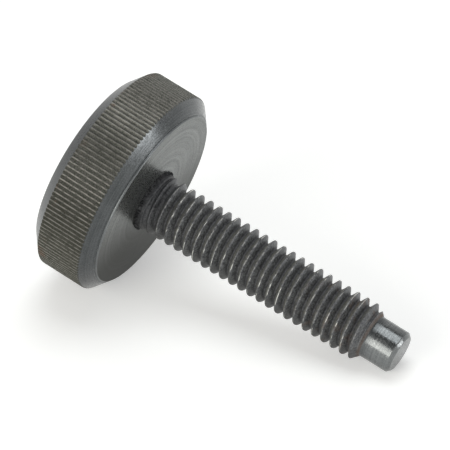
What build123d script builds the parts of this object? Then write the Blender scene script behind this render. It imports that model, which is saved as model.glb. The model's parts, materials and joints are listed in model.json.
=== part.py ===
from build123d import *

# Knurled head screw: a thumb screw with a dog point, turned in one piece from a steel bar.
# It is drawn upright on its own axis. Z is 0 at the seat under the head, the head hangs below it
# and the shank and the point rise above it. At the end the screw is laid on its side, as it
# comes to rest on a table: on the rim of its head and on the edge of its point.
# The shank has the diameter over the crests of its thread, and the helix itself isn't cut.

import math
import os

INCH = 25.4

# Head
head_diameter = 1.125 * INCH  # over the knurl
head_thickness = 0.375 * INCH  # from the flat top to the seat
top_chamfer_width = 2.04  # chamfer round the flat top, across and along the axis
top_chamfer_height = 1.73
under_chamfer_width = 1.71  # chamfer between the knurl and the seat
under_chamfer_height = 1.4
seat_ledge = 0.225  # flat ring between that chamfer and the seat
seat_height = 0.27  # raised face that bears on the work
seat_bevel = 0.12

# Straight knurl: V grooves that run out through both chamfers
knurl_teeth = 142
knurl_land = 0.17  # flat on top of each tooth
knurl_angle = 90

# Shank, with a 5/16-18 UNC thread over its full length
thread_diameter = 7.84  # over the crests
shoulder_diameter = 5 / 16 * INCH  # where the thread runs out at the head
shoulder_fillet = 0.25
runout_length = 3.5  # from the seat, where the shoulder tapers down to the crests
shank_length = 1.5 * INCH  # from the seat to the end

# Dog point
dog_diameter = 5.74
dog_length = 4.3
dog_chamfer = 0.45
neck_fillet = 0.25  # where the point meets the end bevel of the thread

# Worked out from the sizes above
head_radius = head_diameter / 2
top_radius = head_radius - top_chamfer_width
under_radius = head_radius - under_chamfer_width
seat_radius = under_radius - seat_ledge
knurl_bottom = -(seat_height + under_chamfer_height)  # edges of the knurled band
knurl_top = top_chamfer_height - head_thickness
thread_radius = thread_diameter / 2
shoulder_radius = shoulder_diameter / 2
dog_radius = dog_diameter / 2
dog_base = shank_length - dog_length
thread_end = dog_base - (thread_radius - dog_radius)  # the last turn has a 45 degree bevel

# A groove is as deep as its sides need to leave the land. Past the land they meet at a sharp tip.
tooth_angle = 360 / knurl_teeth
tooth_pitch = math.pi * head_diameter / knurl_teeth
groove_slope = math.tan(math.radians(knurl_angle / 2))
groove_radius = head_radius - (tooth_pitch - knurl_land) / 2 / groove_slope
tip_radius = head_radius + knurl_land / 2 / groove_slope

with BuildPart() as upright_screw:
    # Head, shank and point, turned in one
    with BuildSketch(Plane.XZ):
        with BuildLine():
            Polyline(
                (0, -head_thickness),
                (top_radius, -head_thickness),
                (head_radius, knurl_top),
                (head_radius, knurl_bottom),
                (under_radius, -seat_height),
                (seat_radius, -seat_height),
                (seat_radius, -seat_bevel),
                (seat_radius - seat_bevel, 0),
                (shoulder_radius, 0),
                (thread_radius, runout_length),
                (thread_radius, thread_end),
                (dog_radius, dog_base),
                (dog_radius, shank_length - dog_chamfer),
                (dog_radius - dog_chamfer, shank_length),
                (0, shank_length),
                close=True,
            )
        make_face()
        fillet(vertices().sort_by_distance((shoulder_radius, 0))[0], radius=shoulder_fillet)
        fillet(vertices().sort_by_distance((dog_radius, dog_base))[0], radius=neck_fillet)
    revolve(axis=Axis.Z)

    # Knurl: all that lies outside a star of sharp teeth is cut from the rim and its chamfers. The
    # star starts at a groove, which is the lowest one once the screw is laid down.
    with BuildSketch(Plane.XY.offset(-head_thickness)):
        with BuildLine():
            star = []
            for tooth in range(knurl_teeth):
                groove = tooth_angle * tooth
                star.append(Vector(groove_radius, 0).rotate(Axis.Z, groove))
                star.append(Vector(tip_radius, 0).rotate(Axis.Z, groove + tooth_angle / 2))
            Polyline(star, close=True)
        make_face()
    extrude(amount=head_thickness + shank_length, mode=Mode.INTERSECT)

# Laid on its side, with the point towards +X: X of the upright screw turns upwards
support_length = shank_length - dog_chamfer - knurl_bottom
lean = math.atan2(head_radius - dog_radius, support_length)
lying = Plane(
    origin=(0, 0, 0),
    x_dir=(math.sin(lean), 0, math.cos(lean)),
    z_dir=(math.cos(lean), 0, -math.sin(lean)),
)
laid_screw = upright_screw.part.moved(lying.location)
box = laid_screw.bounding_box()
with BuildPart() as knurled_head_screw:
    with Locations((-box.center().X, -box.center().Y, -box.min.Z)):
        add(laid_screw)
knurled_head_screw.part.label = "knurled_head_screw"

os.makedirs("parts", exist_ok=True)
export_step(knurled_head_screw.part, "parts/knurled_head_screw.step")
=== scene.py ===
"""Knurled head screw: the looks of a blackened steel thumb screw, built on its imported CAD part.

The screw is drawn upright in millimetres, with its seat at Z = 0, its head below and its point
above. It is made as on a lathe: profiles are turned, the rim is knurled, a threaded bar is turned
down to its point, and the two are joined. The finished screw is then laid on the axis that the
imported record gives, in metres.
"""

import json
import logging
import math
from dataclasses import dataclass, field
from enum import Enum
from typing import Any, Callable, Sequence

import bpy
from mathutils import Matrix, Vector


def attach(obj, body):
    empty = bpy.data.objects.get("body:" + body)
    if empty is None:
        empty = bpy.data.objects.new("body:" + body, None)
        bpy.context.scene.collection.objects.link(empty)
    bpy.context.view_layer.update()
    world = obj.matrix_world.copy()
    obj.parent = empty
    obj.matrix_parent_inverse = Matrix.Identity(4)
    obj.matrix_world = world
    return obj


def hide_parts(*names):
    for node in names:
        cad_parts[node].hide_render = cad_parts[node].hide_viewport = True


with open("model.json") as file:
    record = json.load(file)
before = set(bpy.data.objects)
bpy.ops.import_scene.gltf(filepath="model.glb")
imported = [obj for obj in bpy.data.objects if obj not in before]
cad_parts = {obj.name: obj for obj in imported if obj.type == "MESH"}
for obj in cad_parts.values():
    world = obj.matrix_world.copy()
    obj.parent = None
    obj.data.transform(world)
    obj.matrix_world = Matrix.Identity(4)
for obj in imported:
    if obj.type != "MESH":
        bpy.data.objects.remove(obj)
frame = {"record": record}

LOG = logging.getLogger("knurled_head_screw")
NODE = "knurled_head_screw"
MM = 0.001
INCH = 25.4
FULL_TURN = 2 * math.pi
MERGE_DISTANCE = 0.0004  # millimetres
SMOOTH_ANGLE = math.radians(32)
ROUNDING_STEPS = 4  # pieces that a rounded corner is divided into


# --- Bench: the few operations that every piece is made with ---


class Join(Enum):
    """How one solid is combined with another."""

    UNION = "UNION"
    INTERSECT = "INTERSECT"


@dataclass(frozen=True)
class Corner:
    """A corner of a turned profile, in millimetres."""

    radius: float  # from the axis
    height: float  # along the axis, from the seat
    rounding: float = 0.0  # how far from the corner its rounding starts


def deselect_all() -> None:
    """Leaves edit mode and deselects every object."""
    if bpy.context.object and bpy.context.object.mode != "OBJECT":
        bpy.ops.object.mode_set(mode="OBJECT")
    bpy.ops.object.select_all(action="DESELECT")


def make_active(piece: bpy.types.Object) -> None:
    """Selects one piece alone and makes it the active one.

    Args:
        piece: The piece to select.
    """
    deselect_all()
    piece.select_set(True)
    bpy.context.view_layer.objects.active = piece


def edit_all(piece: bpy.types.Object) -> None:
    """Opens a piece in edit mode with all of it selected.

    Args:
        piece: The mesh to open.
    """
    make_active(piece)
    bpy.ops.object.mode_set(mode="EDIT")
    bpy.ops.mesh.select_mode(type="VERT")
    bpy.ops.mesh.select_all(action="SELECT")


def edit_where(piece: bpy.types.Object, test: Callable[[Vector], bool]) -> None:
    """Opens a piece in edit mode with some of its vertices selected.

    Args:
        piece: The mesh to open.
        test: Says of a vertex's place whether the vertex is selected.
    """
    edit_all(piece)
    bpy.ops.mesh.select_all(action="DESELECT")
    bpy.ops.object.mode_set(mode="OBJECT")
    for vertex in piece.data.vertices:
        vertex.select = test(vertex.co)
    bpy.ops.object.mode_set(mode="EDIT")


def close_edit() -> None:
    """Goes back to object mode."""
    bpy.ops.object.mode_set(mode="OBJECT")


def apply_modifier(piece: bpy.types.Object, kind: str, **settings: Any) -> None:
    """Adds a modifier to a piece and applies it.

    Args:
        piece: The mesh that is changed.
        kind: Blender's name for the type of modifier.
        settings: The modifier's own settings.
    """
    make_active(piece)
    modifier = piece.modifiers.new(kind.title(), kind)
    for name, value in settings.items():
        setattr(modifier, name, value)
    bpy.ops.object.modifier_apply(modifier=modifier.name)


def combine(piece: bpy.types.Object, tool: bpy.types.Object, join: Join) -> None:
    """Combines a solid with another one, which is used up.

    Args:
        piece: The solid that is kept.
        tool: The solid that is added or intersected.
        join: Which of the two it is.
    """
    apply_modifier(piece, "BOOLEAN", operation=join.value, object=tool, solver="EXACT")
    bpy.data.objects.remove(tool)
    edit_all(piece)
    bpy.ops.mesh.remove_doubles(threshold=MERGE_DISTANCE)
    bpy.ops.mesh.dissolve_degenerate(threshold=MERGE_DISTANCE)
    close_edit()


def rounded(corners: Sequence[Corner], steps: int = ROUNDING_STEPS) -> list[Vector]:
    """Gives the points of a profile, with each rounded corner as a short curve.

    Args:
        corners: The profile's corners in order.
        steps: How many pieces a rounding is divided into.

    Returns:
        Points in the XZ plane, where X is the distance from the axis.
    """
    places = [Vector((corner.radius, 0, corner.height)) for corner in corners]
    points = [places[0]]
    for before, place, after, corner in zip(places, places[1:], places[2:], corners[1:]):
        if not corner.rounding:
            points.append(place)
            continue
        start = place + (before - place).normalized() * corner.rounding
        end = place + (after - place).normalized() * corner.rounding
        for step in range(steps + 1):
            t = step / steps
            points.append(start * (1 - t) ** 2 + place * (2 * t * (1 - t)) + end * t**2)
    points.append(places[-1])
    return points


def draw_line(name: str, points: Sequence[Vector]) -> bpy.types.Object:
    """Draws an open line: a single vertex that is extruded from point to point.

    Args:
        name: The new object's name.
        points: The line's points in order.

    Returns:
        A mesh of edges alone.
    """
    deselect_all()
    bpy.ops.mesh.primitive_plane_add(size=1)
    line = bpy.context.object
    line.name = name
    edit_all(line)
    bpy.ops.mesh.merge(type="CENTER")
    bpy.ops.transform.translate(value=points[0])
    for start, end in zip(points, points[1:]):
        bpy.ops.mesh.extrude_vertices_move(TRANSFORM_OT_translate={"value": end - start})
    close_edit()
    return line


def turn(name: str, corners: Sequence[Corner], steps: int) -> bpy.types.Object:
    """Turns a solid from its profile, which starts and ends on the axis.

    Args:
        name: The new object's name.
        corners: The profile's corners in order.
        steps: How many faces the solid has round its axis.

    Returns:
        A closed solid with its faces pointing outwards.
    """
    solid = draw_line(name, rounded(corners))
    edit_all(solid)
    bpy.ops.mesh.spin(steps=steps, angle=FULL_TURN, center=(0, 0, 0), axis=(0, 0, 1))
    bpy.ops.mesh.select_all(action="SELECT")
    bpy.ops.mesh.remove_doubles(threshold=MERGE_DISTANCE)
    bpy.ops.mesh.normals_make_consistent(inside=False)
    close_edit()
    return solid


# --- Pieces of the screw ---


@dataclass(frozen=True)
class KnurledHead:
    """The head with its straight knurl, and the cone that the thread runs out on."""

    diameter: float = 1.125 * INCH  # over the knurl
    thickness: float = 0.375 * INCH  # from the flat top to the seat
    top_chamfer_width: float = 2.04  # round the flat top
    top_chamfer_height: float = 1.73
    under_chamfer_width: float = 1.71  # between the knurl and the seat
    under_chamfer_height: float = 1.4
    seat_ledge: float = 0.225  # flat ring between that chamfer and the seat
    seat_height: float = 0.27
    seat_bevel: float = 0.12
    teeth: int = 142
    land: float = 0.13  # flat on top of each tooth
    faces_per_tooth: int = 4
    groove_rounding: float = 0.2  # how far up its sides the bottom of a groove is rounded
    groove_steps: int = 5
    edge_rounding: float = 0.05
    shoulder_diameter: float = 5 / 16 * INCH
    shoulder_rounding: float = 0.25
    shoulder_length: float = 0.85  # from the seat to the step where the thread runs out
    step_diameter: float = 7.38
    step_length: float = 0.17
    runout_slope: float = 0.4  # how fast the bottom of the thread's groove sinks after the step
    runout_length: float = 3.1  # ends under the bottom of the thread

    @property
    def radius(self) -> float:
        """Radius over the knurl."""
        return self.diameter / 2

    @property
    def knurl_bottom(self) -> float:
        """Height of the knurl's edge at the seat's side."""
        return -(self.seat_height + self.under_chamfer_height)

    @property
    def knurl_top(self) -> float:
        """Height of the knurl's edge at the flat top's side."""
        return self.top_chamfer_height - self.thickness

    @property
    def under_radius(self) -> float:
        """Radius where the chamfer under the knurl ends."""
        return self.radius - self.under_chamfer_width

    @property
    def seat_radius(self) -> float:
        """Radius of the raised seat face."""
        return self.under_radius - self.seat_ledge

    @property
    def groove_radius(self) -> float:
        """Radius at the bottom of the knurl's grooves, whose sides are at 90 degrees."""
        return self.radius - (math.pi * self.diameter / self.teeth - self.land) / 2

    def profile(self) -> list[Corner]:
        """Gives the turned profile, from the flat top to the end of the run-out cone.

        Returns:
            The profile's corners.
        """
        top_radius = self.radius - self.top_chamfer_width
        shoulder = self.shoulder_diameter / 2
        step = self.step_diameter / 2
        step_end = self.shoulder_length + self.step_length
        cone_end = step - self.runout_slope * (self.runout_length - step_end)
        fine = self.edge_rounding / 2
        return [
            Corner(0, -self.thickness),
            Corner(top_radius, -self.thickness, 2 * self.edge_rounding),
            Corner(self.radius, self.knurl_top),
            Corner(self.radius, self.knurl_bottom),
            Corner(self.under_radius, -self.seat_height, self.edge_rounding),
            Corner(self.seat_radius, -self.seat_height, fine),
            Corner(self.seat_radius, -self.seat_bevel, fine),
            Corner(self.seat_radius - self.seat_bevel, 0, fine),
            Corner(shoulder, 0, self.shoulder_rounding),
            Corner(shoulder, self.shoulder_length, self.edge_rounding * 2),
            Corner(step, step_end, self.edge_rounding),
            Corner(cone_end, self.runout_length),
            Corner(0, self.runout_length),
        ]

    def star(self) -> bpy.types.Object:
        """Makes the star-shaped bar that the knurled rim is cut to.

        Returns:
            A bar that is longer than the head.
        """
        tip_radius = self.radius + self.land / 2
        half_tooth = math.pi / self.teeth
        deselect_all()
        bpy.ops.mesh.primitive_circle_add(
            vertices=2 * self.teeth,
            radius=self.groove_radius,
            fill_type="NGON",
            location=(0, 0, -self.thickness - self.edge_rounding),
        )
        bpy.ops.object.transform_apply(location=True)
        star = bpy.context.object
        star.name = "knurl_star"

        def is_tip(place: Vector) -> bool:
            """Says whether a vertex is the tip of a tooth."""
            return round(math.atan2(place.y, place.x) / half_tooth) % 2 == 1

        edit_where(star, is_tip)
        growth = tip_radius / self.groove_radius
        bpy.ops.transform.resize(value=(growth, growth, 1), center_override=(0, 0, 0))
        close_edit()
        edit_where(star, lambda place: not is_tip(place))
        bpy.ops.mesh.bevel(
            affect="VERTICES", offset=self.groove_rounding, segments=self.groove_steps
        )
        bpy.ops.mesh.select_all(action="SELECT")
        height = self.thickness + self.runout_length + 2 * self.edge_rounding
        bpy.ops.mesh.extrude_region_move(TRANSFORM_OT_translate={"value": (0, 0, height)})
        bpy.ops.mesh.select_all(action="SELECT")
        bpy.ops.mesh.normals_make_consistent(inside=False)
        close_edit()
        return star

    def build(self) -> bpy.types.Object:
        """Turns the head and cuts its knurl.

        Returns:
            The head, with the cone that the thread runs out on.
        """
        head = turn("head_blank", self.profile(), self.teeth * self.faces_per_tooth)
        combine(head, self.star(), Join.INTERSECT)
        return head


@dataclass(frozen=True)
class ThreadedShank:
    """The shank with its right-hand thread, turned down to a dog point."""

    length: float = 1.5 * INCH  # from the seat to the end of the point
    pitch: float = INCH / 18
    crest_diameter: float = 7.84
    crest_flat: float = 0.176
    thread_angle: float = 60
    depth_share: float = 17 / 24  # of the depth of a sharp V
    rounding_steps: int = 3
    crest_rounding: float = 0.075
    root_rounding: float = 0.1
    crest_at_top: float = -1.427  # height at which a crest passes the uppermost line
    spare_turns: int = 2  # that are cut off at each end
    faces_per_turn: int = 96
    faces_round_point: int = 192
    sunk_in_head: float = 1.0  # how far the bar reaches into the head
    dog_diameter: float = 5.74
    dog_length: float = 4.3
    dog_chamfer: float = 0.45
    neck_rounding: float = 0.22
    edge_rounding: float = 0.06
    clearance: float = 0.3  # by which a tool passes what it doesn't cut

    @property
    def crest_radius(self) -> float:
        """Radius over the crests."""
        return self.crest_diameter / 2

    @property
    def depth(self) -> float:
        """Depth of the thread, from crest to root."""
        return self.depth_share * self.pitch / 2 / math.tan(math.radians(self.thread_angle / 2))

    @property
    def root_radius(self) -> float:
        """Radius at the bottom of the thread."""
        return self.crest_radius - self.depth

    @property
    def dog_base(self) -> float:
        """Height at which the point begins."""
        return self.length - self.dog_length

    def thread_profile(self, start: float) -> list[Corner]:
        """Gives one pitch of the thread, from the middle of a root to the next.

        Args:
            start: Height of the first root.

        Returns:
            The corners of one ridge.
        """
        middle = start + self.pitch / 2
        crest = self.crest_flat / 2
        foot = crest + self.depth * math.tan(math.radians(self.thread_angle / 2))
        return [
            Corner(self.root_radius, start),
            Corner(self.root_radius, middle - foot, self.root_rounding),
            Corner(self.crest_radius, middle - crest, self.crest_rounding),
            Corner(self.crest_radius, middle + crest, self.crest_rounding),
            Corner(self.root_radius, middle + foot, self.root_rounding),
            Corner(self.root_radius, start + self.pitch),
        ]

    def threaded_bar(self) -> bpy.types.Object:
        """Makes a bar that is threaded from inside the head to past the point.

        Returns:
            A closed bar with flat ends.
        """
        start = self.crest_at_top - (self.spare_turns + 0.5) * self.pitch
        turns = math.ceil((self.length - start) / self.pitch) + self.spare_turns
        profile = rounded(self.thread_profile(start), self.rounding_steps)
        bar = draw_line("threaded_bar", profile)
        apply_modifier(
            bar,
            "SCREW",
            axis="Z",
            angle=FULL_TURN,
            screw_offset=self.pitch,
            iterations=turns,
            steps=self.faces_per_turn,
            render_steps=self.faces_per_turn,
            use_merge_vertices=True,
            merge_threshold=MERGE_DISTANCE,
        )
        for height, above in ((-self.sunk_in_head, False), (self.length + self.clearance, True)):
            edit_all(bar)
            bpy.ops.mesh.bisect(
                plane_co=(0, 0, height),
                plane_no=(0, 0, 1),
                use_fill=True,
                clear_outer=above,
                clear_inner=not above,
            )
            close_edit()
        edit_all(bar)
        bpy.ops.mesh.remove_doubles(threshold=MERGE_DISTANCE)
        bpy.ops.mesh.normals_make_consistent(inside=False)
        close_edit()
        return bar

    def turned_outline(self) -> list[Corner]:
        """Gives the outline that the bar is turned down to: thread, end bevel and point.

        Returns:
            The outline's corners.
        """
        dog = self.dog_diameter / 2
        outside = self.crest_radius + self.clearance
        bevel_start = self.dog_base - (outside - dog)
        foot = -self.sunk_in_head - self.clearance
        return [
            Corner(0, foot),
            Corner(outside, foot),
            Corner(outside, bevel_start),
            Corner(dog, self.dog_base, self.neck_rounding),
            Corner(dog, self.length - self.dog_chamfer, self.edge_rounding),
            Corner(dog - self.dog_chamfer, self.length, self.edge_rounding),
            Corner(0, self.length),
        ]

    def build(self) -> bpy.types.Object:
        """Threads the bar and turns it down.

        Returns:
            The shank with its point.
        """
        bar = self.threaded_bar()
        outline = turn("turned_outline", self.turned_outline(), self.faces_round_point)
        combine(bar, outline, Join.INTERSECT)
        return bar


@dataclass(frozen=True)
class Collar:
    """The torn ring that the threading die has left against the seat."""

    foot_radius: float = 4.08
    top_radius: float = 3.95
    foot_height: float = 0.12
    height: float = 0.42
    sunk: float = 0.3  # how far the ring reaches into the head
    torn_outwards: float = 0.3  # how far its edges are torn, at most
    torn_upwards: float = 0.14
    tear_shift: float = 1.0  # radians from an outward tear to the upward one like it
    faces: int = 256

    def profile(self) -> list[Corner]:
        """Gives the section of the ring, closed on the axis.

        Returns:
            The section's corners.
        """
        return [
            Corner(0, -self.sunk),
            Corner(self.foot_radius, -self.sunk),
            Corner(self.foot_radius, self.foot_height),
            Corner(self.top_radius, self.height),
            Corner(0, self.height),
        ]

    def tear(self, angle: float) -> float:
        """Says how far the edge is torn at one place round the ring.

        Args:
            angle: The place, in radians.

        Returns:
            A share from -1 to 1, uneven but the same on every run.
        """
        waves = ((13, 0.3, 0.25), (37, 1.7, 0.35), (71, 4.1, 0.4))  # teeth, start and share
        return sum(share * math.sin(count * angle + start) for count, start, share in waves)

    def build(self) -> bpy.types.Object:
        """Turns the ring and tears its edges.

        Returns:
            A closed ring.
        """
        ring = turn("collar", self.profile(), self.faces)
        for vertex in ring.data.vertices:
            place = vertex.co
            radius = math.hypot(place.x, place.y)
            if place.z < 0 or radius < self.top_radius - MERGE_DISTANCE:
                continue
            angle = math.atan2(place.y, place.x)
            outwards = 1 + self.torn_outwards * self.tear(angle) / radius
            place.x, place.y = place.x * outwards, place.y * outwards
            place.z += self.torn_upwards * self.tear(angle + self.tear_shift)
        return ring


@dataclass(frozen=True)
class Placement:
    """Where the upright screw comes to lie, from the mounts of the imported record."""

    seat: Vector  # middle of the seat, in metres
    axis: Vector  # from the head to the point

    @classmethod
    def from_record(cls, record: dict[str, Any], length: float) -> "Placement":
        """Reads the axis and the end of the point from the record.

        Args:
            record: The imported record.
            length: From the seat to the end of the point, in millimetres.

        Returns:
            The placement of the whole screw.
        """
        mounts = {mount["name"]: mount for mount in record["mounts"]}
        end = mounts["point_end"]
        axis = Vector(end["axis"]).normalized()
        return cls(seat=Vector(end["pos_m"]) - axis * length * MM, axis=axis)

    @property
    def turn(self) -> Matrix:
        """The rotation that takes the upright screw's Z to the axis and its X upwards.

        Returns:
            A turn without a move.
        """
        up = (Vector((0, 0, 1)) - self.axis * self.axis.z).normalized()
        across = self.axis.cross(up)
        return Matrix((up, across, self.axis)).transposed()

    @property
    def matrix(self) -> Matrix:
        """The move from millimetres on the bench to metres in the part's frame."""
        return Matrix.LocRotScale(self.seat, self.turn, Vector((MM, MM, MM)))


# --- Finishes ---

Colour = tuple[float, float, float]
WHITE: Colour = (1.0, 1.0, 1.0)
PLAIN_DARK = 0.3  # a noise below this counts as dark, and above the next as light
PLAIN_LIGHT = 0.7
CLOUD_DETAIL = 3.0  # how many finer layers a noise has
LINE_DETAIL = 4.0
SPOT_DETAIL = 5.0
FINE_DETAIL = 6.0


class NodeSheet:
    """The nodes of one material or surround."""

    def __init__(self, tree: bpy.types.NodeTree) -> None:
        """Takes the tree that the nodes are added to."""
        self.tree = tree

    def add(self, kind: str, operation: str = "", **inputs: Any) -> bpy.types.Node:
        """Adds a node.

        Args:
            kind: The node's type.
            operation: The node's operation, where it has one.
            inputs: A value or a socket for each named input, with _ for a space.

        Returns:
            The new node.
        """
        node = self.tree.nodes.new(kind)
        if operation:
            node.operation = operation
        for name, value in inputs.items():
            self.feed(node.inputs[name.replace("_", " ")], value)
        return node

    def feed(self, socket: bpy.types.NodeSocket, value: Any) -> None:
        """Links a socket to another one, or sets its value.

        Args:
            socket: The input that is fed.
            value: An output's socket, or a plain value.
        """
        if isinstance(value, bpy.types.NodeSocket):
            self.tree.links.new(value, socket)
        else:
            socket.default_value = value

    def math(self, operation: str, first: Any, second: Any = 0.0) -> bpy.types.NodeSocket:
        """Gives the result of a sum on one or two numbers.

        Args:
            operation: Blender's name for the sum.
            first: A number or its socket.
            second: Another, where the sum takes two.

        Returns:
            The result.
        """
        node = self.add("ShaderNodeMath", operation=operation)
        self.feed(node.inputs[0], first)
        self.feed(node.inputs[1], second)
        return node.outputs[0]

    def product(self, first: Any, *others: Any) -> bpy.types.NodeSocket:
        """Multiplies numbers, from left to right.

        Args:
            first: A number's socket.
            others: More numbers or sockets.

        Returns:
            The product.
        """
        for other in others:
            first = self.math("MULTIPLY", first, other)
        return first

    def mix(self, share: Any, first: Any, second: Any) -> bpy.types.NodeSocket:
        """Mixes two numbers, or two colours where the second is given as a colour.

        Args:
            share: How much of the second there is, from 0 to 1.
            first: A value or its socket.
            second: Another.

        Returns:
            The mixed value.
        """
        node = self.tree.nodes.new("ShaderNodeMix")
        kind = "Color" if isinstance(second, tuple) else "Float"
        node.data_type = "RGBA" if kind == "Color" else "FLOAT"
        sockets = {socket.identifier: socket for socket in node.inputs}
        self.feed(sockets["Factor_Float"], share)
        for name, value in (("A", first), ("B", second)):
            whole = (*value, 1.0) if isinstance(value, tuple) else value
            self.feed(sockets[f"{name}_{kind}"], whole)
        return next(socket for socket in node.outputs if socket.identifier == f"Result_{kind}")

    def ramp(
        self, value: Any, start: float, end: float, low: float = 0.0, high: float = 1.0
    ) -> bpy.types.NodeSocket:
        """Gives low before start and high past end, with a soft change between.

        Args:
            value: The number's socket.
            start: Where the change starts, which may lie above its end.
            end: Where it ends.
            low: The result before the start.
            high: The result past the end.

        Returns:
            The result.
        """
        limits = {"From_Min": start, "From_Max": end, "To_Min": low, "To_Max": high}
        node = self.add("ShaderNodeMapRange", Value=value, **limits)
        node.interpolation_type = "SMOOTHSTEP"
        return node.outputs["Result"]

    def contrast(self, noise: Any) -> bpy.types.NodeSocket:
        """Stretches a noise from plain dark, 0, to plain light, 1."""
        return self.ramp(noise, PLAIN_DARK, PLAIN_LIGHT)

    def band(self, value: Any, start: float, end: float, soft: float) -> bpy.types.NodeSocket:
        """Gives 1 between start and end and 0 outside, with a soft change at both."""
        up = self.ramp(value, start - soft, start + soft)
        return self.product(up, self.ramp(value, end + soft, end - soft))


class SteelSheet(NodeSheet):
    """The nodes of one steel finish, with the screw's own coordinates in millimetres.

    The colour and the roughness are the sockets that the next layer is laid on.
    """

    def __init__(self, name: str, placement: Placement) -> None:
        """Starts a material.

        Args:
            name: The material's name.
            placement: Where the screw lies, which its own coordinates undo.
        """
        self.material = bpy.data.materials.new(name)
        self.material.use_nodes = True
        super().__init__(self.material.node_tree)
        self.surface = self.tree.nodes["Principled BSDF"].inputs
        self.colour: Any = None
        self.roughness: Any = None
        back = placement.turn.transposed()
        self.place = self.add(
            "ShaderNodeMapping",
            Vector=self.add("ShaderNodeTexCoord").outputs["Object"],
            Location=-(back @ placement.seat) / MM,
            Rotation=back.to_euler("XYZ"),
            Scale=(1 / MM, 1 / MM, 1 / MM),
        ).outputs[0]
        split = self.add("ShaderNodeSeparateXYZ", Vector=self.place).outputs
        self.height = split["Z"]
        self.upwards = split["X"]
        self.turned = self.math("DIVIDE", self.math("ARCTAN2", split["Y"], split["X"]), FULL_TURN)
        flat = self.add("ShaderNodeCombineXYZ", X=split["X"], Y=split["Y"]).outputs[0]
        self.radius = self.add(
            "ShaderNodeVectorMath", operation="LENGTH", Vector=flat
        ).outputs["Value"]

    def thread_place(self, pitch: float, crest_at_top: float) -> bpy.types.NodeSocket:
        """Gives the place along one pitch of a thread.

        Args:
            pitch: The thread's pitch.
            crest_at_top: Height at which a crest passes the uppermost line.

        Returns:
            A number from -0.5 to 0.5, with 0 in the middle of the crest.
        """
        turns = self.math("DIVIDE", self.math("SUBTRACT", self.height, crest_at_top), pitch)
        shifted = self.math("ADD", self.math("SUBTRACT", turns, self.turned), 0.5)
        return self.math("SUBTRACT", self.math("FRACT", shifted), 0.5)

    def noise(
        self, scale: float, detail: float, place: Any = None, stretch: float = 1.0
    ) -> bpy.types.NodeSocket:
        """Gives cloudy noise from 0 to 1.

        Args:
            scale: Features per millimetre.
            detail: How many finer layers the noise has.
            place: The coordinates, where they aren't the screw's own.
            stretch: How much longer the features are along the axis.

        Returns:
            The noise.
        """
        node = self.add("ShaderNodeTexNoise", Scale=scale, Detail=detail)
        place = place or self.place
        if stretch != 1:
            longer = (1, 1, 1 / stretch)
            place = self.add("ShaderNodeMapping", Vector=place, Scale=longer).outputs[0]
        self.feed(node.inputs["Vector"], place)
        return node.outputs["Fac"]

    def cover(self, share: Any, colour: Colour, roughness: float) -> None:
        """Covers a share of the surface, from 0 to 1, with another colour and roughness."""
        self.colour = self.mix(share, self.colour, colour)
        self.roughness = self.mix(share, self.roughness, roughness)

    def bump(self, height: Any, distance: float, under: Any = None) -> bpy.types.NodeSocket:
        """Gives a normal that follows a height.

        Args:
            height: The relief, from 0 to 1.
            distance: What a height of 1 stands for, in millimetres.
            under: The normal of the relief that this one lies on.

        Returns:
            The socket of the normal.
        """
        node = self.add("ShaderNodeBump", Strength=1.0, Distance=distance * MM, Height=height)
        if under is not None:
            self.feed(node.inputs["Normal"], under)
        return node.outputs["Normal"]


class Lay(Enum):
    """The direction in which a tool has left its fine lines."""

    ROUND_A_FACE = "rings that differ in radius"
    ALONG_THE_AXIS = "rings that differ in height"


@dataclass(frozen=True)
class ToolMarks:
    """The fine lines that a lathe leaves."""

    lay: Lay
    scale: float  # lines per millimetre
    depth: float  # millimetres
    contrast: float = 0.5  # how much of the shade follows the lines

    def lines(self, sheet: SteelSheet) -> bpy.types.NodeSocket:
        """Gives the lines as a relief.

        Args:
            sheet: The material's nodes.

        Returns:
            A number from 0 to 1.
        """
        along = sheet.radius if self.lay is Lay.ROUND_A_FACE else sheet.height
        line = sheet.add("ShaderNodeCombineXYZ", X=along).outputs[0]
        return sheet.noise(self.scale, LINE_DETAIL, place=line)


class Way(Enum):
    """The direction in which painted shade and oxide build up."""

    ALONG = "along the axis"
    DOWN = "from the upper side to the lower one"


@dataclass(frozen=True)
class PaintedShadeAndOxide:
    """A darker, rougher layer that builds up in one direction of the screw. Mostly it is painted
    shade, on the lower side and by the head and the neck; at the neck it is also a rust-brown
    oxide line.
    """

    way: Way
    clean: float  # place at which it starts, in millimetres
    full: float  # place from which it is thickest
    strength: float  # share of the surface that it covers there
    colour: Colour = (0.03, 0.03, 0.033)
    rougher: float = 0.1  # than the steel under it

    def share(self, sheet: SteelSheet) -> bpy.types.NodeSocket:
        """Gives how much of the surface it covers, from 0 to 1."""
        place = sheet.height if self.way is Way.ALONG else sheet.upwards
        return sheet.product(sheet.ramp(place, self.clean, self.full), self.strength)


@dataclass(frozen=True)
class GrooveDarkening:
    """Darker colour deep in a groove: painted shade in the knurl's grooves, and a darkening of
    the thread's roots.
    """

    clean: float  # radius at which it starts
    full: float  # radius from which there is most
    strength: float
    colour: Colour = (0.03, 0.03, 0.033)
    roughness: float = 0.8
    ends_at: float = 32.8  # height along the screw from which it fades out
    fade: float = 0.6  # length over which it does

    def share(self, sheet: SteelSheet) -> bpy.types.NodeSocket:
        """Gives how much of the surface it covers.

        Args:
            sheet: The material's nodes.

        Returns:
            A number from 0 to 1.
        """
        deep = sheet.ramp(sheet.radius, self.clean, self.full)
        below = sheet.ramp(sheet.height, self.ends_at + self.fade, self.ends_at)
        return sheet.product(deep, below, self.strength)


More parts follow.
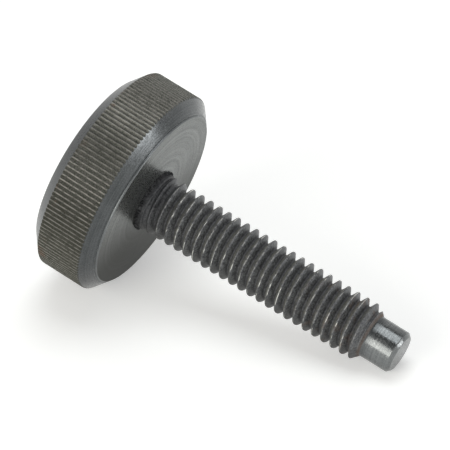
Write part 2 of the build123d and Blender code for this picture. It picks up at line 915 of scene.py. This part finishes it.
@dataclass(frozen=True)
class Wear:
    """Bare metal that shows through in streaks."""

    start: float  # radius at which it starts
    full: float  # radius from which there is most
    colour: Colour
    strength: float
    patch_scale: float
    patch_from: float  # the noise below this stays dark
    patch_to: float
    stretch: float  # how much longer the streaks are along the axis
    roughness: float

    def share(self, sheet: SteelSheet) -> bpy.types.NodeSocket:
        """Gives how much of the surface is worn.

        Args:
            sheet: The material's nodes.

        Returns:
            A number from 0 to 1.
        """
        bare = sheet.ramp(sheet.radius, self.start, self.full)
        streaks = sheet.noise(self.patch_scale, FINE_DETAIL, stretch=self.stretch)
        patches = sheet.ramp(streaks, self.patch_from, self.patch_to)
        return sheet.product(bare, patches, self.strength)


@dataclass(frozen=True)
class Rust:
    """Rust that tints the surface in spots."""

    start: float  # height along the screw at which it starts
    full: float  # height from which there is most
    cover: float  # share of the surface in its spots, roughly
    scale: float
    strength: float
    colour: Colour = (0.15, 0.08, 0.05)
    softness: float = 0.25  # of the edges of its spots
    roughness: float = 0.8

    def share(self, sheet: SteelSheet) -> bpy.types.NodeSocket:
        """Gives how much of the surface is rusty.

        Args:
            sheet: The material's nodes.

        Returns:
            A number from 0 to 1.
        """
        noise = sheet.noise(self.scale, SPOT_DETAIL)
        spots = sheet.ramp(noise, 1 - self.cover, 1 + self.softness - self.cover)
        where = sheet.ramp(sheet.height, self.start, self.full)
        return sheet.product(spots, where, self.strength)


@dataclass(frozen=True)
class ThreadWearAndPaintedLight:
    """A bright, worn edge to each crest of the thread, and a dull, grainy head side that is worn
    and also painted light: that flank is made lighter, as where a lamp falls on it.

    Places along one pitch go from -0.5 to 0.5, with 0 in the middle of the crest.
    """

    pitch: float = ThreadedShank.pitch
    crest_at_top: float = ThreadedShank.crest_at_top
    starts_at: float = 3.6  # height along the screw from which it shows in full
    ends_at: float = 32.4
    # the head side: a worn grain, and painted light that makes that flank lighter
    dull_from: float = -0.43
    dull_to: float = -0.03
    dull_softness: float = 0.05
    dull: Colour = (0.27, 0.262, 0.22)
    dull_strength: float = 0.8
    dull_scale: float = 3.0
    grain_from: float = 0.35  # the noise below this stays dark
    grain_to: float = 0.65
    bright_from: float = 0.02
    bright_to: float = 0.066
    bright_softness: float = 0.012
    bright: Colour = (0.78, 0.78, 0.72)
    bright_scale: float = 0.9
    patch_from: float = 0.48
    patch_to: float = 0.64
    bright_roughness: float = 0.18

    def lay(self, sheet: SteelSheet) -> bpy.types.NodeSocket:
        """Lays the wear, with the painted light on the head side, over a material's colour and
        roughness.

        Args:
            sheet: The material's nodes.

        Returns:
            The share of bare metal, from 0 to 1.
        """
        place = sheet.thread_place(self.pitch, self.crest_at_top)
        half = self.pitch / 2
        shows = sheet.band(sheet.height, self.starts_at - half, self.ends_at, half)
        # painted light, with a worn grain: the head-side flank of every ridge is made lighter
        noise = sheet.noise(self.dull_scale, FINE_DETAIL)
        grain = sheet.ramp(noise, self.grain_from, self.grain_to)
        side = sheet.band(place, self.dull_from, self.dull_to, self.dull_softness)
        dull = sheet.product(side, grain, shows, self.dull_strength)
        sheet.colour = sheet.mix(dull, sheet.colour, self.dull)
        noise = sheet.noise(self.bright_scale, SPOT_DETAIL)
        patches = sheet.ramp(noise, self.patch_from, self.patch_to)
        edge = sheet.band(place, self.bright_from, self.bright_to, self.bright_softness)
        bare = sheet.product(edge, patches, shows)
        sheet.cover(bare, self.bright, self.bright_roughness)
        return bare


@dataclass(frozen=True)
class BlackenedSteel:
    """Machined steel under black oxide, in one place of the screw."""

    name: str
    dark: Colour
    light: Colour
    roughness: float
    roughness_spread: float = 0.1
    metallic: float = 0.9
    cloud_scale: float = 0.35  # features per millimetre, as for the grain
    cloud_share: float = 0.5  # how much of the shade is cloudy, and the rest is grainy
    grain_scale: float = 4.0
    grain_depth: float = 0.006  # millimetres
    edge_shine: float = 1.0  # how bright it turns where it is seen at a low angle
    marks: ToolMarks | None = None
    thread_wear_and_painted_light: ThreadWearAndPaintedLight | None = None
    painted_shade_and_oxide: tuple[PaintedShadeAndOxide, ...] = ()
    groove_darkening: GrooveDarkening | None = None
    wear: Wear | None = None
    rust: Rust | None = None

    def dress(self, placement: Placement) -> bpy.types.Material:
        """Builds the material, layer on layer.

        Args:
            placement: Where the screw lies.

        Returns:
            The finished material.
        """
        sheet = SteelSheet(self.name, placement)
        surface = sheet.surface
        surface["Metallic"].default_value = self.metallic
        surface["Specular Tint"].default_value = (*[self.edge_shine] * 3, 1.0)
        cloud = sheet.contrast(sheet.noise(self.cloud_scale, CLOUD_DETAIL))
        grain = sheet.noise(self.grain_scale, FINE_DETAIL)
        crisp = sheet.contrast(grain)
        shade = sheet.mix(self.cloud_share, crisp, cloud)
        smoothest = self.roughness - self.roughness_spread
        roughest = self.roughness + self.roughness_spread
        sheet.roughness = sheet.mix(crisp, smoothest, roughest)
        normal = sheet.bump(grain, self.grain_depth)
        if self.marks:
            lines = self.marks.lines(sheet)
            shade = sheet.mix(self.marks.contrast, shade, sheet.contrast(lines))
            normal = sheet.bump(lines, self.marks.depth, under=normal)
        sheet.colour = sheet.mix(shade, self.dark, self.light)
        if self.thread_wear_and_painted_light:
            bare = self.thread_wear_and_painted_light.lay(sheet)
            sheet.feed(surface["Metallic"], sheet.mix(bare, self.metallic, 1.0))
        for painted_shade_and_oxide in self.painted_shade_and_oxide:
            sheet.cover(painted_shade_and_oxide.share(sheet), painted_shade_and_oxide.colour, self.roughness + painted_shade_and_oxide.rougher)
        for layer in (self.groove_darkening, self.wear, self.rust):
            if layer:
                sheet.cover(layer.share(sheet), layer.colour, layer.roughness)
        sheet.feed(surface["Base Color"], sheet.colour)
        sheet.feed(surface["Roughness"], sheet.roughness)
        sheet.feed(surface["Normal"], normal)
        return sheet.material


class Zone(Enum):
    """The places of the screw that differ in finish, in the order of their materials."""

    KNURL = 0
    CHAMFER = 1
    SEAT = 2
    THREAD = 3
    POINT = 4
    RIM = 5


FINISHES: dict[Zone, BlackenedSteel] = {
    Zone.KNURL: BlackenedSteel(
        name="knurl_steel",
        dark=(0.04, 0.045, 0.034),
        light=(0.26, 0.249, 0.228),
        roughness=0.46,
        roughness_spread=0.12,
        metallic=0.85,
        cloud_scale=0.9,
        cloud_share=0.2,
        grain_scale=6.0,
        grain_depth=0.06,
        wear=Wear(
            start=14.272,
            full=14.285,
            colour=(0.28, 0.272, 0.245),
            strength=0.6,
            patch_scale=6.5,
            patch_from=0.35,
            patch_to=0.55,
            stretch=4.0,
            roughness=0.4,
        ),
        # painted shade deep in the knurl's grooves
        groove_darkening=GrooveDarkening(
            clean=14.26, full=14.14, strength=0.35, colour=(0.04, 0.04, 0.035), roughness=0.65
        ),
        # painted shade: the knurl is darker away from its top, and darker still on its lower side
        painted_shade_and_oxide=(
            PaintedShadeAndOxide(Way.DOWN, clean=14.3, full=12.0, strength=0.4, colour=(0.035, 0.037, 0.028)),
            PaintedShadeAndOxide(Way.DOWN, clean=9.0, full=3.0, strength=0.55, colour=(0.035, 0.035, 0.025)),
        ),
        rust=Rust(start=-6.4, full=-7.6, cover=0.45, scale=0.5, strength=0.75),
    ),
    Zone.CHAMFER: BlackenedSteel(
        name="chamfer_steel",
        dark=(0.05, 0.055, 0.057),
        light=(0.118, 0.124, 0.127),
        roughness=0.24,
        grain_depth=0.002,
        marks=ToolMarks(Lay.ALONG_THE_AXIS, scale=5.0, depth=0.006, contrast=0.45),
        # painted shade: the chamfer round the flat top is darker
        painted_shade_and_oxide=(PaintedShadeAndOxide(Way.ALONG, clean=-4.0, full=-8.0, strength=0.6, colour=(0.03, 0.033, 0.034)),),
    ),
    Zone.SEAT: BlackenedSteel(
        name="seat_steel",
        dark=(0.175, 0.182, 0.178),
        light=(0.34, 0.35, 0.344),
        roughness=0.29,
        grain_depth=0.003,
        edge_shine=0.65,
        marks=ToolMarks(Lay.ROUND_A_FACE, scale=1.8, depth=0.006, contrast=0.7),
        # painted shade: the seat darkens towards its lower side
        painted_shade_and_oxide=(PaintedShadeAndOxide(Way.DOWN, clean=5.0, full=-7.5, strength=0.85, colour=(0.045, 0.047, 0.042)),),
    ),
    # painted light: the ledge and the wall at the seat's edge are lighter than the chamfer, to
    # lift the shade in that corner
    Zone.RIM: BlackenedSteel(
        name="rim_painted_light_steel",
        dark=(0.13, 0.137, 0.14),
        light=(0.19, 0.2, 0.202),
        roughness=0.38,
    ),
    Zone.THREAD: BlackenedSteel(
        name="thread_steel",
        dark=(0.03, 0.031, 0.034),
        light=(0.215, 0.22, 0.226),
        roughness=0.45,
        roughness_spread=0.16,
        metallic=0.55,
        cloud_scale=1.1,
        cloud_share=0.25,
        grain_scale=4.2,
        grain_depth=0.06,
        thread_wear_and_painted_light=ThreadWearAndPaintedLight(),
        # the thread's roots are darker
        groove_darkening=GrooveDarkening(clean=3.4, full=3.05, strength=0.5),
        # painted shade on the thread's lower side, over the first turns by the head and at the
        # collar's foot; the brown layer is a rust line at the neck
        painted_shade_and_oxide=(
            PaintedShadeAndOxide(Way.DOWN, clean=1.0, full=-2.5, strength=0.5, colour=(0.03, 0.03, 0.024)),
            PaintedShadeAndOxide(Way.ALONG, clean=3.4, full=0.7, strength=0.5),
            PaintedShadeAndOxide(Way.ALONG, clean=0.5, full=0.3, strength=0.5, colour=(0.025, 0.025, 0.026)),
            PaintedShadeAndOxide(Way.ALONG, clean=33.3, full=33.65, strength=0.5, colour=(0.12, 0.08, 0.056)),
        ),
        rust=Rust(
            start=21.0, full=31.0, cover=0.47, scale=0.7, strength=0.55, colour=(0.17, 0.1, 0.06)
        ),
    ),
    Zone.POINT: BlackenedSteel(
        name="point_steel",
        dark=(0.115, 0.122, 0.125),
        light=(0.235, 0.245, 0.245),
        roughness=0.22,
        grain_depth=0.002,
        marks=ToolMarks(Lay.ALONG_THE_AXIS, scale=4.0, depth=0.0006),
        # painted shade: the point darkens towards the neck
        painted_shade_and_oxide=(PaintedShadeAndOxide(Way.ALONG, clean=35.0, full=33.9, strength=0.6, colour=(0.075, 0.08, 0.083)),),
    ),
}


@dataclass
class KnurledHeadScrew:
    """The whole screw, in one piece."""

    head: KnurledHead = field(default_factory=KnurledHead)
    shank: ThreadedShank = field(default_factory=ThreadedShank)
    collar: Collar = field(default_factory=Collar)

    def zone(self, centre: Vector) -> Zone:
        """Says which finish a face has.

        Args:
            centre: The middle of the face on the upright screw, in millimetres.

        Returns:
            The face's zone.
        """
        radius = math.hypot(centre.x, centre.y)
        head, shank = self.head, self.shank
        if centre.z > shank.dog_base:
            return Zone.POINT
        if radius < self.collar.foot_radius + self.collar.torn_outwards and centre.z > 0:
            return Zone.THREAD
        if centre.z > -head.seat_height - MERGE_DISTANCE and radius < head.under_radius:
            return Zone.SEAT if radius < head.seat_radius - head.seat_bevel else Zone.RIM
        if head.knurl_top <= centre.z <= head.knurl_bottom or radius > head.groove_radius:
            return Zone.KNURL
        if centre.z < -head.thickness + head.edge_rounding / 2:
            return Zone.SEAT
        return Zone.CHAMFER

    def build(self, placement: Placement) -> bpy.types.Object:
        """Joins head, collar and shank, dresses the screw and lays it down.

        Args:
            placement: Where the screw lies.

        Returns:
            The finished piece.
        """
        screw = self.head.build()
        combine(screw, self.collar.build(), Join.UNION)
        combine(screw, self.shank.build(), Join.UNION)
        screw.name = "screw_body"
        screw.data.name = "screw_body"
        screw.data.materials.clear()
        for zone in Zone:
            screw.data.materials.append(FINISHES[zone].dress(placement))
        for face in screw.data.polygons:
            face.material_index = self.zone(face.center).value
        make_active(screw)
        bpy.ops.object.shade_smooth_by_angle(angle=SMOOTH_ANGLE)
        screw.matrix_world = placement.matrix
        bpy.ops.object.transform_apply(location=True, rotation=True, scale=True)
        return screw


# --- Studio ---


@dataclass(frozen=True)
class Softbox:
    """A soft lamp that faces the screw, with its lengths in metres."""

    name: str
    bearing: float  # degrees from the front, towards the point
    elevation: float  # degrees above the floor
    distance: float
    width: float
    height: float
    brightness: float  # what a mirror would show of it, where 1 is white
    colour: Colour
    slide: float = 0.0  # by how much it is slid to its own right

    def place(self) -> None:
        """Adds the lamp."""
        place = direction(self.bearing, self.elevation) * self.distance
        bpy.ops.object.light_add(type="AREA", location=place)
        lamp = bpy.context.object
        lamp.name = self.name
        facing = lamp.location.to_track_quat("Z", "Y")
        lamp.rotation_euler = facing.to_euler()
        lamp.location += facing @ Vector((self.slide, 0, 0))
        lamp.data.shape = "RECTANGLE"
        lamp.data.size = self.width
        lamp.data.size_y = self.height
        lamp.data.energy = self.brightness * math.pi * self.width * self.height
        lamp.data.color = self.colour


def direction(bearing: float, elevation: float) -> Vector:
    """Gives a direction from the screw.

    Args:
        bearing: Degrees from the front, towards the point.
        elevation: Degrees above the floor.

    Returns:
        A vector of length 1.
    """
    across, up = math.radians(bearing), math.radians(elevation)
    level = math.cos(up)
    return Vector((math.sin(across) * level, -math.cos(across) * level, math.sin(up)))


@dataclass(frozen=True)
class Studio:
    """A pale floor, a white surround, soft lamps and the camera, with lengths in metres."""

    floor_size: float = 4.0
    floor_colour: Colour = (0.9, 0.9, 0.88)
    floor_glow: float = 0.33  # what camera and metal see on top of the floor's own light
    surround: float = 0.7  # brightness at the horizon
    surround_height: float = 30  # degrees up to which it is that bright
    ceiling: float = 0.15  # brightness overhead
    ceiling_height: float = 60  # degrees from which it is that dark
    camera_bearing: float = 31.09
    camera_elevation: float = 34.47
    camera_distance: float = 0.4462
    camera_clip: float = 0.01  # nearer than this, the camera shows nothing
    camera_target: Vector = field(default_factory=lambda: Vector((-0.00087, -0.00102, 0.014)))
    lens: float = 281.87  # millimetres
    softboxes: tuple[Softbox, ...] = (
        Softbox(
            "top_softbox", bearing=180, elevation=82, distance=0.5, width=0.3, height=0.38,
            brightness=2.7, colour=(0.95, 0.98, 1.0), slide=0.015,
        ),
        Softbox(
            "front_softbox", bearing=-12, elevation=21, distance=0.5, width=0.28, height=0.32,
            brightness=3.6, colour=(1.0, 0.98, 0.92),
        ),
        Softbox(
            "side_softbox", bearing=107, elevation=3.2, distance=0.6, width=0.28, height=0.06,
            brightness=7.5, colour=WHITE,
        ),
    )

    def lay_floor(self) -> None:
        """Adds the floor, which stays white round the shadow for the camera and the metal."""
        deselect_all()
        bpy.ops.mesh.primitive_plane_add(size=self.floor_size)
        floor = bpy.context.object
        floor.name = "floor"
        material = bpy.data.materials.new("pale_floor")
        material.use_nodes = True
        sheet = NodeSheet(material.node_tree)
        rays = sheet.add("ShaderNodeLightPath").outputs
        seen = rays["Is Camera Ray"]
        for ray in ("Is Glossy Ray", "Is Transmission Ray"):
            seen = sheet.math("MAXIMUM", seen, rays[ray])
        surface = material.node_tree.nodes["Principled BSDF"].inputs
        surface["Base Color"].default_value = (*self.floor_colour, 1.0)
        surface["Roughness"].default_value = 1.0
        surface["Specular IOR Level"].default_value = 0.0
        surface["Emission Color"].default_value = (*WHITE, 1.0)
        sheet.feed(surface["Emission Strength"], sheet.math("MULTIPLY", seen, self.floor_glow))
        floor.data.materials.append(material)

    def light_world(self) -> None:
        """Makes a surround that is white at the horizon and dark overhead."""
        world = bpy.data.worlds.new("studio")
        bpy.context.scene.world = world
        world.use_nodes = True
        sheet = NodeSheet(world.node_tree)
        place = sheet.add("ShaderNodeTexCoord").outputs["Generated"]
        height = sheet.add("ShaderNodeSeparateXYZ", Vector=place).outputs["Z"]
        start = math.sin(math.radians(self.surround_height))
        end = math.sin(math.radians(self.ceiling_height))
        sky = sheet.ramp(height, start, end, self.surround, self.ceiling)
        seen = sheet.add("ShaderNodeLightPath").outputs["Is Camera Ray"]
        background = world.node_tree.nodes["Background"].inputs
        background["Color"].default_value = (*WHITE, 1.0)
        sheet.feed(background["Strength"], sheet.math("MAXIMUM", sky, seen))

    def set_camera(self) -> None:
        """Adds the camera and makes it the scene's own."""
        aim = direction(self.camera_bearing, self.camera_elevation)
        bpy.ops.object.camera_add(location=self.camera_target + aim * self.camera_distance)
        camera = bpy.context.object
        camera.rotation_euler = aim.to_track_quat("Z", "Y").to_euler()
        camera.data.lens = self.lens
        camera.data.clip_start = self.camera_clip
        bpy.context.scene.camera = camera

    def build(self) -> None:
        """Sets up floor, surround, lamps and camera."""
        self.lay_floor()
        self.light_world()
        for softbox in self.softboxes:
            softbox.place()
        self.set_camera()
        bpy.context.scene.view_settings.view_transform = "Standard"


def main() -> None:
    """Builds the screw and its studio."""
    logging.basicConfig(level=logging.INFO, format="%(name)s: %(message)s")
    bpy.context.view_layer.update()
    design = KnurledHeadScrew()
    placement = Placement.from_record(frame["record"], design.shank.length)
    screw = design.build(placement)
    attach(screw, "root")
    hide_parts(NODE)
    LOG.info("%s has %d faces", screw.name, len(screw.data.polygons))
    Studio().build()
    LOG.info("the studio is set up")


if __name__ == "__main__":
    main()
